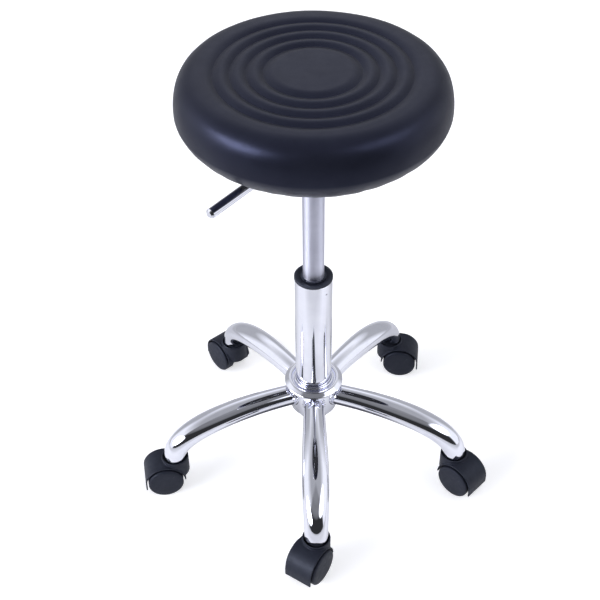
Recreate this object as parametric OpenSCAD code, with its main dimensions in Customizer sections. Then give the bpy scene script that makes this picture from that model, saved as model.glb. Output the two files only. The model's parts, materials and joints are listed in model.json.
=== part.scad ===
// Adjustable swivel stool: a round ribbed cushion on a gas lift, carried by
// a tubular five-leg base with hooded twin-wheel casters.
// Millimetres. +Z is up. The origin is on the floor under the column's axis.

/* [Seat] */
// Outside diameter of the upholstered seat
seat_d = 324; // [310:2:340]
// Height of the seat's flat disc above the floor with the lift fully out
seat_top = 640; // [636:1:644]
// Depth of the grooves between the ribs
groove_depth = 4; // [2:0.5:5]
// Radius of the innermost groove
groove_r = 56.4; // [54:0.2:58]
// Radial distance from one groove to the next
groove_pitch = 19.2; // [18:0.2:19.6]

/* [Gas lift] */
// Outside diameter of the standing outer tube
column_d = 50; // [49:0.5:52]
// Outside diameter of the sliding pressure tube
pressure_d = 28; // [27:0.5:29]
// Height of the top of the outer tube
column_top = 334; // [330:1:340]

/* [Height lever] */
// Direction of the lever, turned from +X
lever_turn = -129; // [-180:1:180]
// Distance from the column's axis to the tip of the lever
lever_reach = 184; // [176:1:190]
// Diameter of the lever's rod
lever_d = 12; // [10:0.5:12]

/* [Base] */
// Radius from the column's axis to the casters' stems
star_r = 208.7; // [205:0.5:215]
// Width of a leg where it meets the hub
leg_w_root = 30; // [28:0.5:31]
// Width that a leg swells to along its arch, above the straight taper
leg_swell = 5.3; // [3:0.1:6]
// Height of a leg's section at the hub
leg_h_root = 28; // [26:0.5:29]
// Diameter of a leg's open lower end
leg_end_d = 32; // [31:0.5:33]
// Height of a leg's lower end above the floor
leg_end_z = 54; // [53.5:0.5:55]
// Wall of the leg tube
leg_wall = 2; // [1.5:0.1:2.5]

/* [Casters] */
// Diameter of a caster wheel
wheel_d = 50; // [48:0.5:50.5]
// Horizontal distance from a caster's stem to its axle
trail = 17; // [16:0.5:18]
// Width of a caster's hood
hood_w = 40; // [38:0.5:41]
// Distance between the outer faces of a caster's two wheels
wheel_span = 48; // [46:0.5:50]
// Swivel angle of the first caster, turned from +X
turn_1 = 236; // [0:1:360]
// Swivel angle of the second caster
turn_2 = 316; // [0:1:360]
// Swivel angle of the third caster
turn_3 = 353; // [0:1:360]
// Swivel angle of the fourth caster
turn_4 = 130; // [0:1:360]
// Swivel angle of the fifth caster
turn_5 = 190; // [0:1:360]

/* [Hidden] */
$fn = 64;

// Radial gap of a running fit
running = 0.05;

// Seat
seat_r = seat_d / 2;
cover_t = 2;
seat_bottom = 563;
equator_z = 595;
bolster_crest = 27;
bolster_power = 2.5;
under_tuck = 30;
under_power = 1.5;
disc_edge = 4.4;
groove_power = 0.7;
groove_n = 3;
groove_last = groove_r + groove_n * groove_pitch;
cover_hem_r = 108;
board_r = 131.5;
board_t = 12;
board_z = seat_bottom + cover_t;
dust_r = 124;
dust_t = 1;

// Seat plate with its drawn dish
plate_side = 160;
plate_t = 2.5;
plate_z = seat_bottom - dust_t - plate_t;
plate_corner = 14;
dish_x0 = -32;
dish_x1 = 56;
dish_w = 64;
dish_z = 535.5;
hole_pitch = 136;
screw_r = 3;
screw_head_r = 5.5;
tnut_r = 4;
tnut_flange_r = 9;
tnut_flange_t = 1.5;
socket_r = 17;
socket_z = 508;

// Gas lift
column_r = column_d / 2;
column_wall = 1.7;
column_bottom = 86;
taper_top = 148;
taper_in = 1.4;
column_bore = column_r - 3.2;
base_disc_z = 87;
base_disc_t = 4;
rod_r = 5;
rod_bottom = 80.5;
clip_z = 84.2;
clip_t = 1.5;
groove_cut = 1;
race_t = 2;
race_r = 16;
ball_r = 2.5;
ball_n = 8;
ball_circle = 10.5;
stop_top = 115.5;
stop_r = 12;
pressure_r = pressure_d / 2;
pressure_bore = pressure_r - 1.5;
pressure_bottom = 277;
pressure_top = 545;
pressure_taper = 0.6;
taper_h = 40;
gland_h = 20;
seal_z = 284;
seal_h = 4;
seal_r = 8;
piston_z = 299;
piston_h = 12;
ring_h = 4;
valve_h = 20;
pin_r = 3;
pin_top = 551;
pin_collar_r = 4.5;
bush_bottom = 265;
bush_cap = 3.5;
dimple_r = 3;
dimple_z = 320;
dimple_turn = -49;

// Lever
lever_z = 547.5;
lever_pivot = 30;
tongue_z = pin_top + 0.3;
tongue_t = 4;
tongue_w = 11;
tongue_x = -7;
rod_start = 20;
pivot_r = 2.5;
ear_gap = 8.5;
ear_t = 2.5;

// Hub
hub_r = 32.5;
hub_bottom = 98;
hub_top = 141;
cover_r = 40.8;
cover_z = 143.4;
cover_lip_z = 151;
cover_skin = 1.6;
cover_bend = 5.5;
collar_t = 2.4;
crease_z = 144.6;

// Legs
leg_n = 5;
leg_sides = 32;
leg_rings = 22;
leg_root_r = 37;
leg_root_z = 123.5;
leg_power = 2.25;
leg_swell_at = 1.6;
end_slant = 0.2;
end_flat = 0.1;
end_rise = 0.05;
step = 0.001;

// Casters
axle_z = wheel_d / 2;
axle_r = 3;
axle_h = 41;
hood_gap = 2;
hood_t = 2;
hood_r = wheel_d / 2 + hood_gap + hood_t;
lip_z = 14;
web_w = 13;
wheel_gap = 0.8;
well_r = wheel_d / 2 + 0.9;
housing_r = 19;
housing_z = 29;
nose_r = 12;
nose_z = 22;
cup_r = 17.3;
cup_floor = 52.3;
cup_rim = 58.5;
stem_r = 5;
stem_bottom = 34;
stem_collar_r = 7;
stem_top = 72;
socket_tube_r = 7.6;
flange_gap = 0.35;
flange_t = 3;
ring_z = 64;
tread_edge = 1;
wheel_fillet = 4;
hub_wall = 3;
rim_t = 5;
hub_boss_r = 8;
turns = [turn_1, turn_2, turn_3, turn_4, turn_5];

// Colours
navy = [0.16, 0.17, 0.21];
chrome = [0.82, 0.82, 0.86];
steel = [0.62, 0.63, 0.66];
silver = [0.74, 0.73, 0.80];
nylon = [0.14, 0.15, 0.18];
rubber = [0.08, 0.08, 0.08];
plywood = [0.76, 0.62, 0.42];
foam = [0.92, 0.88, 0.72];
felt = [0.10, 0.10, 0.11];
white_nylon = [0.88, 0.88, 0.84];

// ---- Shared shapes ----

// A ring or disc turned about Z
module ring(r_in, r_out, z, h) {
    rotate_extrude()
        translate([r_in, z])
            square([r_out - r_in, h]);
}

// A rectangle with round corners, made of squares and circles
module round_rect(x0, x1, w, corner) {
    translate([x0 + corner, -w / 2])
        square([x1 - x0 - 2 * corner, w]);
    translate([x0, -w / 2 + corner])
        square([x1 - x0, w - 2 * corner]);
    for (x = [x0 + corner, x1 - corner], y = [-1, 1])
        translate([x, y * (w / 2 - corner)])
            circle(corner);
}

// ---- Seat ----

// Height of the seat's upper surface at radius r, inside the bolster's crest
function top_height(r) =
    r <= groove_r - disc_edge ? seat_top :
    r <= groove_r ? seat_top - groove_depth * (1 - cos(90 * (r - groove_r + disc_edge) / disc_edge)) :
    r <= groove_last ?
        seat_top - groove_depth * (1 - pow(abs(sin(180 * (r - groove_r) / groove_pitch)), groove_power)) :
    seat_top - groove_depth * (1 - pow(sin(90 * min(1, (r - groove_last) / crest_run)), groove_power));
crest_run = seat_r - bolster_crest - groove_last;

// The seat's section from the axis to the hem, moved in by inset all round
function seat_section(inset) = concat(
    [[0, seat_top - inset]],
    [for (r = [groove_r - disc_edge:disc_edge / 3:groove_r]) [r, top_height(r) - inset]],
    [for (k = [1:groove_n * 8]) let (r = groove_r + k * groove_pitch / 8) [r, top_height(r) - inset]],
    [for (k = [1:4]) let (r = groove_last + k * crest_run / 4) [r, top_height(r) - inset]],
    [for (a = [80:-10:0])
        [seat_r - bolster_crest + (bolster_crest - inset) * pow(cos(a), 2 / bolster_power),
         equator_z + (seat_top - equator_z - inset) * pow(sin(a), 2 / bolster_power)]],
    [for (a = [10:10:90])
        [seat_r - under_tuck + (under_tuck - inset) * pow(cos(a), 2 / under_power),
         equator_z - (equator_z - seat_bottom - inset) * pow(sin(a), 2 / under_power)]]
);

module seat_solid(inset) {
    rotate_extrude()
        polygon(concat(seat_section(inset), [[0, seat_bottom + inset]]));
}

module seat_cover() {
    color(navy)
        difference() {
            seat_solid(0);
            seat_solid(cover_t);
            ring(0, cover_hem_r, seat_bottom - 1, cover_t + 2);
        }
}

module seat_foam() {
    color(foam)
        difference() {
            seat_solid(cover_t);
            ring(0, board_r, seat_bottom, board_z + board_t - seat_bottom);
        }
}

// The four fastener places of the seat plate
module at_screws() {
    rotate([0, 0, lever_turn])
        for (x = [-1, 1], y = [-1, 1])
            translate([x * hole_pitch / 2, y * hole_pitch / 2, 0])
                children();
}

module seat_board() {
    color(plywood)
        difference() {
            ring(0, board_r, board_z, board_t);
            at_screws() {
                ring(0, tnut_r, board_z - 1, board_t + 2);
                ring(0, tnut_flange_r, board_z + board_t - tnut_flange_t, tnut_flange_t + 1);
            }
        }
}

module dust_cover() {
    color(felt)
        difference() {
            ring(0, dust_r, seat_bottom - dust_t, dust_t);
            at_screws() ring(0, screw_r + 0.5, seat_bottom - dust_t - 1, dust_t + 2);
        }
}

module t_nuts() {
    color(steel)
        at_screws() {
            ring(screw_r, tnut_r, board_z + 1, board_t - 1);
            ring(tnut_r, tnut_flange_r, board_z + board_t - tnut_flange_t, tnut_flange_t);
        }
}

module plate_screws() {
    color(steel)
        at_screws() {
            ring(0, screw_head_r, plate_z - 3.5, 3.5);
            ring(0, screw_r, plate_z - 1, board_z + board_t - plate_z - 1);
        }
}

// ---- Seat plate, lever and its bracket; +X is the lever's direction here ----

module seat_plate() {
    color(steel)
        difference() {
            rotate([0, 0, lever_turn])
                difference() {
                    union() {
                        translate([0, 0, plate_z])
                            linear_extrude(plate_t)
                                round_rect(-plate_side / 2, plate_side / 2, plate_side, plate_corner);
                        translate([0, 0, dish_z])
                            linear_extrude(plate_z - dish_z + 1)
                                round_rect(dish_x0, dish_x1, dish_w, plate_corner);
                    }
                    translate([0, 0, dish_z + plate_t])
                        linear_extrude(plate_z - dish_z + plate_t)
                            round_rect(dish_x0 + plate_t, dish_x1 - plate_t,
                                dish_w - 2 * plate_t, plate_corner - plate_t);
                    translate([dish_x1 - 2 * plate_t, -8, dish_z + plate_t])
                        cube([3 * plate_t, 16, 20]);
                }
            ring(0, pressure_r, dish_z - 1, plate_t + 2);
            at_screws() ring(0, screw_r + 0.5, plate_z - 1, plate_t + 2);
        }
}

// Welded under the dish; its bore matches the pressure tube's taper
module plate_socket() {
    color(steel)
        rotate_extrude()
            polygon([
                [pressure_r - pressure_taper * (socket_z - pressure_top + taper_h) / taper_h, socket_z],
                [socket_r, socket_z],
                [socket_r, dish_z],
                [pressure_r - pressure_taper * (dish_z - pressure_top + taper_h) / taper_h, dish_z]
            ]);
}

module lever_bracket() {
    color(steel)
        rotate([0, 0, lever_turn])
            for (side = [-1, 1])
                difference() {
                    union() {
                        translate([lever_pivot - 7, side * (ear_gap + ear_t / 2) - ear_t / 2, dish_z + plate_t])
                            cube([14, ear_t, lever_z + 5.5 - dish_z - plate_t]);
                        translate([lever_pivot - 7, side * (ear_gap + 5) - 5, dish_z + plate_t])
                            cube([14, 10, 2]);
                    }
                    translate([lever_pivot, 0, lever_z])
                        rotate([90, 0, 0])
                            cylinder(r = pivot_r, h = 60, center = true);
                }
}

module lever_pivot_pin() {
    color(steel)
        rotate([0, 0, lever_turn])
            translate([lever_pivot, 0, lever_z])
                rotate([90, 0, 0])
                    cylinder(r = pivot_r, h = 2 * (ear_gap + ear_t) + 2, center = true);
}

// A round rod with a chamfered tip and a flat tongue over the valve pin
module lever() {
    rod = lever_d / 2;
    tip = 2.5;
    color(chrome)
        rotate([0, 0, lever_turn])
            difference() {
                union() {
                    translate([0, 0, lever_z])
                        rotate([0, 90, 0])
                            rotate_extrude()
                                polygon([
                                    [0, rod_start],
                                    [rod, rod_start],
                                    [rod, lever_reach - tip],
                                    [rod - tip, lever_reach],
                                    [0, lever_reach]
                                ]);
                    translate([tongue_x, -tongue_w / 2, tongue_z])
                        cube([rod_start - tongue_x + 8, tongue_w, tongue_t]);
                }
                translate([lever_pivot, 0, lever_z])
                    rotate([90, 0, 0])
                        cylinder(r = pivot_r + running, h = 40, center = true);
            }
}

// ---- Gas lift ----

module pressure_tube() {
    color(silver)
        rotate_extrude()
            polygon([
                [pressure_bore, pressure_bottom],
                [pressure_r, pressure_bottom],
                [pressure_r, pressure_top - taper_h],
                [pressure_r - pressure_taper, pressure_top],
                [pressure_bore, pressure_top]
            ]);
}

module valve_body() {
    color(steel)
        ring(pin_r + running, pressure_bore, pressure_top - valve_h, valve_h);
}

module valve_pin() {
    color(steel)
        rotate_extrude()
            polygon([
                [0, pressure_top - valve_h - 4.5],
                [pin_collar_r, pressure_top - valve_h - 4.5],
                [pin_collar_r, pressure_top - valve_h - 0.5],
                [pin_r, pressure_top - valve_h - 0.5],
                [pin_r, pin_top - 1],
                [pin_r / 2, pin_top],
                [0, pin_top]
            ]);
}

module rod_gland() {
    color(steel)
        difference() {
            ring(rod_r + running, pressure_bore, pressure_bottom, gland_h);
            ring(rod_r, seal_r, seal_z, seal_h);
        }
}

module rod_seal() {
    color(rubber)
        ring(rod_r + running, seal_r, seal_z, seal_h);
}

module piston_rod() {
    color(chrome)
        rotate_extrude()
            polygon([
                [0, rod_bottom],
                [rod_r - 1, rod_bottom],
                [rod_r, rod_bottom + 1],
                [rod_r, clip_z],
                [rod_r - groove_cut, clip_z],
                [rod_r - groove_cut, clip_z + clip_t],
                [rod_r, clip_z + clip_t],
                [rod_r, piston_z + piston_h],
                [0, piston_z + piston_h]
            ]);
}

module piston() {
    color(steel)
        difference() {
            ring(rod_r, pressure_bore - 0.3, piston_z, piston_h);
            ring(pressure_bore - 2, pressure_bore, piston_z + ring_h, ring_h);
        }
}

module piston_ring() {
    color(rubber)
        ring(pressure_bore - 2, pressure_bore - running, piston_z + ring_h, ring_h);
}

module bump_stop() {
    color(rubber)
        ring(rod_r, stop_r, upper_race_z + race_t, stop_top - upper_race_z - race_t);
}

lower_race_z = base_disc_z + base_disc_t;
ball_z = lower_race_z + race_t + ball_r;
upper_race_z = ball_z + ball_r;

module lower_race() {
    color(steel)
        ring(rod_r + 0.5, race_r, lower_race_z, race_t);
}

module upper_race() {
    color(steel)
        ring(rod_r, race_r, upper_race_z, race_t);
}

module at_balls() {
    for (k = [0:ball_n - 1])
        rotate([0, 0, k * 360 / ball_n])
            translate([ball_circle, 0, ball_z])
                children();
}

module bearing_balls() {
    color(chrome)
        at_balls() sphere(ball_r);
}

module ball_cage() {
    color(white_nylon)
        difference() {
            ring(rod_r + 1.5, race_r - 1, ball_z - 1.2, 2.4);
            at_balls() cylinder(r = ball_r + 0.1, h = 4, center = true);
        }
}

module rod_washer() {
    color(steel)
        ring(rod_r, 10, clip_z + clip_t, 1);
}

module rod_clip() {
    color(steel)
        difference() {
            ring(rod_r - groove_cut, rod_r + 3.5, clip_z, clip_t);
            translate([0, -2, clip_z - 1])
                cube([20, 4, clip_t + 2]);
        }
}

module column_base() {
    color(steel)
        ring(rod_r + running, column_bore, base_disc_z, base_disc_t);
}

// Standing tube: drawn in at the foot to a taper that wedges in the hub
module column_tube() {
    color(chrome)
        difference() {
            rotate_extrude()
                polygon([
                    [column_bore, column_bottom],
                    [column_r - taper_in, column_bottom],
                    [column_r, taper_top],
                    [column_r, column_top - 0.8],
                    [column_r - 0.8, column_top],
                    [column_r - column_wall, column_top],
                    [column_r - column_wall, taper_top],
                    [column_bore, taper_top - 4]
                ]);
            for (k = [0:2])
                rotate([0, 0, dimple_turn + k * 120])
                    translate([column_r + dimple_r * 0.75, 0, dimple_z])
                        sphere(dimple_r);
        }
}

// Guide sleeve pressed into the tube, with a dished cap that carries a wiper ring
module column_bush() {
    lip = column_r + 0.6;
    color(nylon)
        difference() {
            rotate_extrude()
                polygon([
                    [pressure_r + running, bush_bottom],
                    [column_r - column_wall, bush_bottom],
                    [column_r - column_wall, column_top],
                    [lip, column_top],
                    [lip, column_top + bush_cap - 1],
                    [lip - 1, column_top + bush_cap],
                    [lip - 3, column_top + bush_cap],
                    [pressure_r + 4, column_top + bush_cap - 2],
                    [pressure_r + 2.5, column_top + bush_cap - 2],
                    [pressure_r + 2.5, column_top + bush_cap],
                    [pressure_r + running, column_top + bush_cap]
                ]);
            for (k = [0:3])
                rotate([0, 0, 45 + k * 90])
                    translate([pressure_r + 1, -1, column_top + bush_cap - 1])
                        cube([3, 2, 4]);
        }
}

// ---- Hub and legs ----

// Outside radius of the column's foot at height z
function foot_r(z) = column_r - taper_in * (taper_top - z) / (taper_top - column_bottom);

module hub_tube() {
    color(chrome)
        rotate_extrude()
            polygon([
                [foot_r(hub_bottom), hub_bottom],
                [hub_r - 1.5, hub_bottom],
                [hub_r, hub_bottom + 1.5],
                [hub_r, hub_top],
                [foot_r(hub_top), hub_top]
            ]);
}

// Chrome ring over the hub's top: a collar round the column inside a rounded rim
module hub_cover() {
    lip = column_r + 0.3;
    collar_r = lip + collar_t;
    crest_r = cover_r - cover_bend;
    color(chrome) {
        rotate_extrude()
            polygon([
                [lip, hub_top],
                [collar_r, hub_top],
                [collar_r, cover_z],
                [crest_r - cover_bend + 1, cover_z],
                [crest_r - cover_bend + 1, crease_z],
                [collar_r, crease_z],
                [collar_r, cover_lip_z - 0.9],
                [collar_r - 0.9, cover_lip_z],
                [lip, cover_lip_z]
            ]);
        rotate_extrude()
            difference() {
                translate([crest_r, cover_z])
                    circle(cover_bend);
                translate([crest_r, cover_z])
                    circle(cover_bend - cover_skin);
                translate([crest_r - 20, cover_z - 40])
                    square([40, 40]);
            }
    }
}

function leg_angle(n) = (n - 1) * 360 / leg_n;

module at_leg(n) {
    rotate([0, 0, leg_angle(n) - 90])
        children();
}

// A leg's centreline in its own (radius, height) plane, t from 0 at the hub to 1 at the caster
function leg_axis(t) = [
    leg_root_r + (star_r - leg_root_r) * pow(sin(90 * t), 2 / leg_power),
    leg_end_z + (leg_root_z - leg_end_z) * pow(cos(90 * t), 2 / leg_power)
];

// Unit normal of that line, upward at the hub and outward at the caster
function leg_normal(t) =
    t < step ? [0, 1] :
    t > 1 - step ? [1, 0] :
    let (d = leg_axis(t + step) - leg_axis(t - step)) [-d[1], d[0]] / norm(d);

function leg_reach(t) = (leg_axis(t)[0] - leg_root_r) / (star_r - leg_root_r);

function leg_width(t) = let (u = leg_reach(t))
    leg_w_root + (leg_end_d - leg_w_root) * u + leg_swell * sin(180 * pow(u, leg_swell_at));

function leg_height(t) = leg_h_root + (leg_end_d - leg_h_root) * pow(leg_reach(t), 3);

// Where the line along the tube at angle a ends: the side towards the hub is cut back most
function leg_last(a) =
    1 - end_slant * max(0, (-sin(a) - end_flat) / (1 - end_flat)) - end_rise * max(0, sin(a));

// Point k rings along the tube at angle a, inset from the outside by the wall
function leg_vertex(k, a, inset) =
    let (
        t = max(0, k - 1) / (leg_rings - 1) * leg_last(a),
        c = leg_axis(t),
        n = leg_normal(t),
        side = (leg_width(t) / 2 - inset) * cos(a),
        rise = (leg_height(t) / 2 - inset) * sin(a)
    )
    k == 0 ? [sqrt(hub_r * hub_r - side * side) + 0.05, side, leg_root_z + rise] :
    [c[0] + n[0] * rise, side, c[1] + n[1] * rise];

function leg_skin(inset) = [
    for (k = [0:leg_rings], j = [0:leg_sides - 1])
        leg_vertex(k, j * 360 / leg_sides, inset)
];

module leg(n) {
    last = leg_sides - 1;
    inner = (leg_rings + 1) * leg_sides;
    color(chrome)
        at_leg(n)
            polyhedron(
                points = concat(leg_skin(0), leg_skin(leg_wall)),
                faces = concat(
                    [for (k = [0:leg_rings - 1], j = [0:last])
                        let (a = k * leg_sides + j, b = k * leg_sides + (j + 1) % leg_sides)
                        each [[a, a + leg_sides, b + leg_sides], [a, b + leg_sides, b]]],
                    [for (k = [0:leg_rings - 1], j = [0:last])
                        let (a = inner + k * leg_sides + j, b = inner + k * leg_sides + (j + 1) % leg_sides)
                        each [[a, b + leg_sides, a + leg_sides], [a, b, b + leg_sides]]],
                    [for (j = [0:last])
                        let (i = (j + 1) % leg_sides)
                        each [[j, i, inner + i], [j, inner + i, inner + j]]],
                    [for (j = [0:last])
                        let (a = leg_rings * leg_sides + j, b = leg_rings * leg_sides + (j + 1) % leg_sides)
                        each [[a, inner + b, b], [a, inner + a, inner + b]]]
                )
            );
}

// ---- Caster stems, their sockets and grip rings ----

module at_stems() {
    for (n = [1:leg_n])
        at_leg(n)
            translate([star_r, 0, 0])
                children();
}

// Plug welded in each leg's end, bored for the stem
module stem_sockets() {
    color(nylon)
        at_stems() {
            ring(stem_r + 0.5, socket_tube_r, leg_end_z + 0.5, ring_z - leg_end_z + 4);
            ring(socket_tube_r, leg_end_d / 2 - leg_wall - flange_gap, leg_end_z + 0.5, flange_t);
        }
}

module caster_stems() {
    color(steel)
        at_stems()
            rotate_extrude()
                polygon([
                    [0, stem_bottom],
                    [stem_r, stem_bottom],
                    [stem_r, cup_floor + 0.3],
                    [stem_collar_r, cup_floor + 0.3],
                    [stem_collar_r, leg_end_z + 0.4],
                    [stem_r, leg_end_z + 0.4],
                    [stem_r, ring_z - 1],
                    [stem_r - 0.8, ring_z - 1],
                    [stem_r - 0.8, ring_z + 2],
                    [stem_r, ring_z + 2],
                    [stem_r, stem_top - 5],
                    [stem_r - 2.5, stem_top],
                    [0, stem_top]
                ]);
}

module grip_rings() {
    color(steel)
        at_stems()
            ring(stem_r - 0.7, stem_r + 0.5, ring_z - 0.5, 2);
}

// ---- Casters; in a caster's own frame +X trails from the stem to the axle ----

module at_caster(n) {
    at_leg(n)
        translate([star_r, 0, 0])
            rotate([0, 0, turns[n - 1] - leg_angle(n) + 90])
                children();
}

// A shape drawn in the caster's (X, Z) plane, made w wide about its middle
module across(w) {
    rotate([90, 0, 0])
        linear_extrude(w, center = true)
            children();
}

// Side view of the arched sheet: half a ring, and the straight edge down to the lip
module hood_arch() {
    inner = hood_r - hood_t;
    difference() {
        union() {
            translate([trail, axle_z])
                circle(hood_r);
            translate([trail, lip_z])
                square([hood_r, axle_z - lip_z]);
        }
        translate([trail, axle_z])
            circle(inner);
        translate([trail - 60, lip_z - 60])
            square([60, axle_z - lip_z + 60]);
        translate([trail - 60, lip_z - 60])
            square([120, 60]);
        translate([trail - 1, lip_z - 1])
            square([inner + 1, axle_z - lip_z + 1]);
    }
}

module web_outline() {
    boss = 10;
    translate([trail, axle_z])
        circle(boss);
    intersection() {
        translate([trail, axle_z])
            circle(hood_r - 0.7);
        translate([-nose_r + 4, nose_z + 1.5])
            square([trail + nose_r + 2, 60]);
    }
}

// Housing and arched sheet, with the space for both wheels cut out
module hood_shell() {
    difference() {
        union() {
            rotate_extrude()
                polygon([
                    [0, nose_z],
                    [nose_r, nose_z],
                    [housing_r, housing_z],
                    [housing_r, cup_rim - 0.6],
                    [housing_r - 0.6, cup_rim],
                    [0, cup_rim]
                ]);
            across(hood_w)
                hood_arch();
        }
        across(hood_w + 10)
            translate([trail, axle_z])
                circle(well_r);
    }
}

module hood(n) {
    color(nylon)
        at_caster(n)
            difference() {
                union() {
                    hood_shell();
                    across(web_w)
                        web_outline();
                }
                ring(0, cup_r, cup_floor, 20);
                translate([0, 0, stem_bottom - 1])
                    cylinder(r = stem_r + running, h = 40);
                across(web_w + 1)
                    translate([trail, axle_z])
                        circle(axle_r);
            }
}

module axle(n) {
    color(steel)
        at_caster(n)
            translate([trail, 0, axle_z])
                rotate([90, 0, 0])
                    cylinder(r = axle_r, h = axle_h, center = true);
}

// side is 1 on the caster's left and -1 on its right, seen along the trail
module wheel(n, side) {
    inner = web_w / 2 + wheel_gap;
    outer = wheel_span / 2;
    r = wheel_d / 2;
    color(nylon)
        at_caster(n)
            translate([trail, 0, axle_z])
                rotate([-90 * side, 0, 0])
                    rotate_extrude()
                        difference() {
                            union() {
                                translate([0, inner + tread_edge])
                                    square([r, outer - wheel_fillet - inner - tread_edge]);
                                translate([0, inner])
                                    square([r - tread_edge, tread_edge + 1]);
                                translate([0, inner + 1])
                                    square([r - wheel_fillet, outer - inner - 1]);
                                translate([r - wheel_fillet, outer - wheel_fillet])
                                    circle(wheel_fillet);
                            }
                            translate([0, inner - 1])
                                square([axle_r + running, axle_h / 2 + 0.5 - inner + 1]);
                            translate([hub_boss_r, inner - 1])
                                square([r - rim_t - hub_boss_r, outer - hub_wall - inner - 2]);
                        }
}

seat_cover();
seat_foam();
seat_board();
dust_cover();
t_nuts();
seat_plate();
plate_screws();
plate_socket();
lever_bracket();
lever_pivot_pin();
lever();
pressure_tube();
valve_body();
valve_pin();
rod_gland();
rod_seal();
piston_rod();
piston();
piston_ring();
bump_stop();
upper_race();
rod_washer();
rod_clip();
ball_cage();
bearing_balls();
lower_race();
column_base();
column_tube();
column_bush();
hub_tube();
hub_cover();
stem_sockets();
caster_stems();
grip_rings();
for (n = [1:leg_n]) {
    leg(n);
    hood(n);
    axle(n);
    wheel(n, 1);
    wheel(n, -1);
}
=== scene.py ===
"""Looks of an adjustable swivel stool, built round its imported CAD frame. Metres; +Z is up."""

import json
import math

import bmesh
import bpy
import numpy as np
from mathutils import Matrix, Vector, noise


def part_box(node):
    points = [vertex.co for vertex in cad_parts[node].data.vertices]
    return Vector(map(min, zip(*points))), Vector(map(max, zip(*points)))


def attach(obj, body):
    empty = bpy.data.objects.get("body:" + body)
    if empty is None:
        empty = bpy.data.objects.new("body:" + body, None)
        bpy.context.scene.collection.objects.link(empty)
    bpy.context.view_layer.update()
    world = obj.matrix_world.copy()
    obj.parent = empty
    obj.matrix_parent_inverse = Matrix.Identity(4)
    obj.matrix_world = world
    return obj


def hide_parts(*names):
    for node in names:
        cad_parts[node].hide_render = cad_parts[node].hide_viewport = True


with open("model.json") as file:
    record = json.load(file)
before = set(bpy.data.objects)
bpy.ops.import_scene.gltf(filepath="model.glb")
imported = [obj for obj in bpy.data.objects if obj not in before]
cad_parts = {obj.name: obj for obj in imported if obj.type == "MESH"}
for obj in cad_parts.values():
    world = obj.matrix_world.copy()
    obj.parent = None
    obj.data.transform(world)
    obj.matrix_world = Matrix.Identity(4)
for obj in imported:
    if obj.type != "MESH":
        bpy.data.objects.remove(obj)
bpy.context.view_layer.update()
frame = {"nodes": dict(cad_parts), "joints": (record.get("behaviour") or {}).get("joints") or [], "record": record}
nodes = frame["nodes"]
joints = {j["name"]: j for j in frame["joints"]}
MM = 0.001


def to_mm(length):
    """A length of the frame in millimetres, to a tenth."""
    return round(length / MM, 1)


def box_mm(node):
    """Lowest and highest corners of a CAD node in millimetres."""
    return [[to_mm(value) for value in corner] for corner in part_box(node)]


# ---------------------------------------------------------------- mesh helpers


def new_mesh(name, points_mm, faces, material):
    """A smooth mesh with one material, from points in millimetres."""
    mesh = bpy.data.meshes.new(name)
    mesh.from_pydata((np.asarray(points_mm, float) * MM).tolist(), [], faces)
    tidy_mesh(mesh)
    mesh.materials.append(material)
    return mesh


def tidy_mesh(mesh):
    """Merges doubled points, turns the faces outwards and shades them smooth."""
    bm = bmesh.new()
    bm.from_mesh(mesh)
    bmesh.ops.remove_doubles(bm, verts=bm.verts, dist=1e-6)
    bmesh.ops.recalc_face_normals(bm, faces=bm.faces)
    for f in bm.faces:
        f.smooth = True
    bm.to_mesh(mesh)
    bm.free()
    mesh.update()


def new_object(name, mesh):
    obj = bpy.data.objects.new(name, mesh)
    bpy.context.scene.collection.objects.link(obj)
    return obj


def place(name, mesh, matrix, body, replaced):
    """An object of a mesh, put in place of some CAD nodes and riding on a body."""
    obj = new_object(name, mesh)
    obj.matrix_world = matrix
    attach(obj, body)
    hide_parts(*replaced)


def rounded(corners, arc):
    """A closed outline from corners (x, y, radius). Each corner turns on an arc of some steps.

    A point just past each end of the arc keeps the flat stretches flat under smooth shading.
    """
    past = 0.25
    straight = math.radians(89.5)
    most_of_side = 0.45
    out = []
    n = len(corners)
    for i in range(n):
        p = np.array(corners[i][:2], float)
        a = np.array(corners[i - 1][:2], float)
        b = np.array(corners[(i + 1) % n][:2], float)
        r = corners[i][2]
        to_a, to_b = a - p, b - p
        la, lb = np.linalg.norm(to_a), np.linalg.norm(to_b)
        ua, ub = to_a / la, to_b / lb
        half = math.acos(max(-1, min(1, float(ua @ ub)))) / 2
        if r <= 0 or half > straight:
            out.append(p)
            continue
        cut = min(r / math.tan(half), most_of_side * la, most_of_side * lb)
        r = cut * math.tan(half)
        mid = (ua + ub) / np.linalg.norm(ua + ub)
        centre = p + mid * r / math.sin(half)
        s, e = p + ua * cut - centre, p + ub * cut - centre
        turn = math.acos(max(-1, min(1, float(s @ e) / (r * r))))
        if cut + past < 0.5 * la:
            out.append(p + ua * (cut + past))
        for k in range(arc + 1):
            w = k / arc
            v = (math.sin((1 - w) * turn) * s + math.sin(w * turn) * e) / math.sin(turn)
            out.append(centre + v)
        if cut + past < 0.5 * lb:
            out.append(p + ub * (cut + past))
    return np.array(out)


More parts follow.
